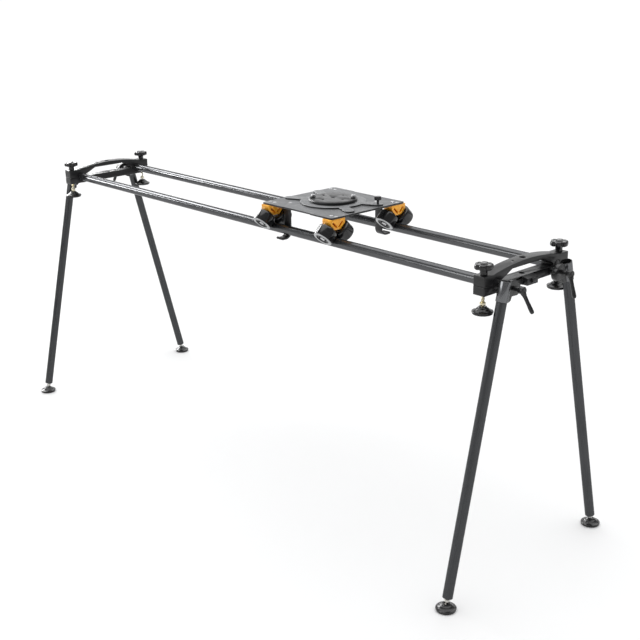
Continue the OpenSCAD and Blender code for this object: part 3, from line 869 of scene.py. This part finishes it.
def ratchet_lever():
    """Hub with a blind bore along +X, and a waisted arm hanging outwards from it."""
    hub = turned(
        "lever_hub",
        [
            (26.5, 4.05),
            (0, 4.05),
            (0, 4.6),
            (0.4, 5.0),
            (13.8, 5.0),
            (14.6, 5.6),
            (15.4, 7.4),
            (15.7, 8.5),
            (16.5, 9.0),
            (27.6, 9.0),
            (28.6, 8.8),
            (29.6, 8.1),
            (30.2, 7.0),
            (30.3, 5.4),
            (29.7, 4.9),
            (29.7, 3.3),
            (30.5, 2.9),
            (30.5, 0.4),
        ],
        56,
    )
    smooth(hub)
    hub.data.transform(upright((0, 0, 0), (1, 0, 0)))
    arm = turned(
        "lever_arm",
        [
            (1.0, 6.8),
            (8.2, 6.5),
            (10.5, 5.8),
            (14.0, 5.0),
            (20.0, 4.55),
            (28.0, 4.5),
            (38.0, 4.8),
            (47.0, 5.15),
            (52.5, 5.1),
            (55.5, 4.6),
            (57.4, 3.6),
            (58.3, 2.2),
            (58.5, 0.8),
        ],
        48,
    )
    smooth(arm)
    hang = (math.sin(ARM_LEAN), 0, -math.cos(ARM_LEAN))
    arm.data.transform(upright((HUB_MID * MM, 0, 0), hang))
    return join("lever_pattern", hub, arm)


lever_pattern = ratchet_lever()
handle_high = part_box("handle_right")[1]
for corner in CORNERS:
    node = "ratchet_lever_" + corner
    pivot = Vector(JOINTS[BODY_OF[node]]["pos_m"])
    pivot.x = end_of(corner) * (handle_high.x + LEVER_OUT * MM)
    place = (
        Matrix.Translation(pivot)
        @ Matrix.Diagonal((end_of(corner), 1, 1, 1))
        @ Matrix.Rotation(-LEVER_TURN * side_of(corner), 4, "X")
    )
    fit_out(copy_to(lever_pattern, node + "_cast", place), node, LEVER_BLACK)
scrap(lever_pattern)


# ---- wheels ----------------------------------------------------------------

WHEEL_R = 26.5
WHEEL_IN, WHEEL_OUT = 15.0, 19.0  # from the contact line to a wheel's two sides
HUB_R = 18.5
BEARING_R = 11.08


def tyre_shoulder(side, rounding):
    """The rounded corner of a tyre, from its tread to its side."""
    inner = abs(side) - rounding
    corner = []
    for step in range(7):
        turn = math.pi / 2 * step / 6
        z = math.copysign(inner + rounding * math.sin(turn), side)
        corner.append((z, WHEEL_R - rounding + rounding * math.cos(turn)))
    return corner


def wheel_tyre_piece():
    """Round-shouldered tyre. +Z points away from the bracket."""
    beside_bracket = tyre_shoulder(-WHEEL_IN, 6.5)[::-1]
    outside = tyre_shoulder(WHEEL_OUT, 3)
    section = [
        (-WHEEL_IN, HUB_R + 0.05),
        *beside_bracket,
        (0, WHEEL_R),
        *outside,
        (WHEEL_OUT, HUB_R + 0.4),
        (WHEEL_OUT - 0.5, HUB_R + 0.05),
    ]
    tyre = ring("tyre_pattern", section, 96)
    smooth(tyre, 30)
    return tyre


def wheel_hub_piece():
    """Chamfered hub with a dished face round its bearings."""
    dish = WHEEL_OUT - 2.5
    hub = ring(
        "hub_pattern",
        [
            (-WHEEL_IN + 0.4, BEARING_R),
            (-WHEEL_IN, 11.5),
            (-WHEEL_IN, HUB_R),
            (WHEEL_OUT - 0.7, HUB_R),
            (WHEEL_OUT - 0.2, HUB_R - 0.15),
            (WHEEL_OUT - 0.25, HUB_R - 0.6),
            (dish + 0.4, 16.3),
            (dish, 15.7),
            (dish, 11.6),
            (dish - 0.4, BEARING_R),
        ],
        72,
    )
    smooth(hub, 24)
    return hub


def outer_lip(axle, place):
    """Picks the faces of a tyre's outer side, where its rim shows."""
    away = place.to_3x3() @ Vector((0, 0, 1))
    rim_from = (WHEEL_OUT - 1.2) * MM
    return lambda face: (face.center - axle).dot(away) > rim_from


tyre_pattern, hub_pattern = wheel_tyre_piece(), wheel_hub_piece()
for corner in CORNERS:
    for where, lean in (("outer", 1), ("inner", -1)):
        node = f"wheel_{where}_{corner}"
        axle = Vector(JOINTS[BODY_OF[node]]["pos_m"])
        place = upright(axle, (0, side_of(corner) * lean, -1))
        tyre = copy_to(tyre_pattern, node + "_tyre", place)
        fit_out(tyre, node, TYRE_BLACK)
        refinish(tyre, RIM_GREY, outer_lip(axle, place))
        hub = copy_to(hub_pattern, node + "_hub", place)
        fit_out(hub, node, HUB_BLACK, stands_for=False)
scrap(tyre_pattern, hub_pattern)


# ---- scene: floor, lights and camera ---------------------------------------


FLOOR_GAP = 0.0003  # the floor lies just under the feet, clear of their soles
FLOOR_SIZE = 160
RAIL_UP = 0.8  # the lights are aimed at about the rails' height


def pale_floor():
    floor_z = CAD_BOX[0].z - FLOOR_GAP
    clear_selection()
    bpy.ops.mesh.primitive_plane_add(size=FLOOR_SIZE, location=(0, 0, floor_z))
    floor = bpy.context.object
    floor.name = "floor"
    pale = Finish("pale_floor", specular=0.2)
    grain = pale.noise(3, 2, 0.5)
    pale.colour(pale.tone(grain, (0.83, 0.83, 0.83), (0.85, 0.85, 0.85)))
    pale.rough(pale.spread(grain, 0.3, 0.7, 0.6, 0.7))
    paint(floor, pale.material)


def studio_air():
    world = bpy.data.worlds.new("studio_air")
    bpy.context.scene.world = world
    world.use_nodes = True
    air = world.node_tree.nodes["Background"]
    air.inputs["Color"].default_value = (0.98, 0.99, 1.0, 1)
    air.inputs["Strength"].default_value = 0.36


def lamp(name, kind, place, aim, **settings):
    """A light aimed at a point. Panels only draw highlights; the sun lights the floor."""
    light = bpy.data.lights.new(name, kind)
    if kind == "AREA":
        light.shape = "RECTANGLE"
    for key, value in settings.items():
        setattr(light, key, value)
    body = bpy.data.objects.new(name, light)
    body.visible_diffuse = kind == "SUN"
    body.location = place
    beam = Vector(aim) - Vector(place)
    body.rotation_euler = beam.to_track_quat("-Z", "Y").to_euler()
    bpy.context.scene.collection.objects.link(body)


def panel(name, place, aim, size, size_y, energy):
    lamp(name, "AREA", place, aim, size=size, size_y=size_y, energy=energy)


def studio_lights():
    high_sun, middle = (-0.8, 1.2, 6), (0, 0, 0)
    lamp("overhead_silk", "SUN", high_sun, middle, energy=2.9, angle=math.radians(85))
    panel("back_wall", (-3.5, 4.6, 2.2), (0, 0, 1.0), 8, 1.8, 56)
    panel("left_strip", (-4.0, -0.4, 1.6), (0, -0.2, RAIL_UP), 4, 0.5, 190)
    panel("left_panel", (-3.8, -0.5, 3.3), (0, -0.2, RAIL_UP), 1.6, 0.9, 70)
    panel("front_panel", (-0.9, -3.8, 2.2), (0, 0, RAIL_UP), 3, 1.5, 64)


VIEW_FROM = (2.390, -1.969, 1.476)
VIEW_YAW, VIEW_PITCH, VIEW_ROLL = (math.radians(x) for x in (48.12, -18.85, -1.14))
LENS, SENSOR = 61.2, 36


def camera():
    flat = math.cos(VIEW_PITCH)
    ahead = Vector(
        (-math.sin(VIEW_YAW) * flat, math.cos(VIEW_YAW) * flat, math.sin(VIEW_PITCH))
    )
    right = ahead.cross(Vector((0, 0, 1))).normalized()
    above = right.cross(ahead)
    side = right * math.cos(VIEW_ROLL) + above * math.sin(VIEW_ROLL)
    top = above * math.cos(VIEW_ROLL) - right * math.sin(VIEW_ROLL)
    lens = bpy.data.cameras.new("camera")
    lens.lens, lens.sensor_width = LENS, SENSOR
    lens.clip_end = FLOOR_SIZE
    body = bpy.data.objects.new("camera", lens)
    turn = Matrix((side, top, -ahead)).transposed().to_4x4()
    body.matrix_world = Matrix.Translation(VIEW_FROM) @ turn
    bpy.context.scene.collection.objects.link(body)
    bpy.context.scene.camera = body


pale_floor()
studio_air()
studio_lights()
camera()
bpy.context.scene.view_settings.view_transform = "Standard"
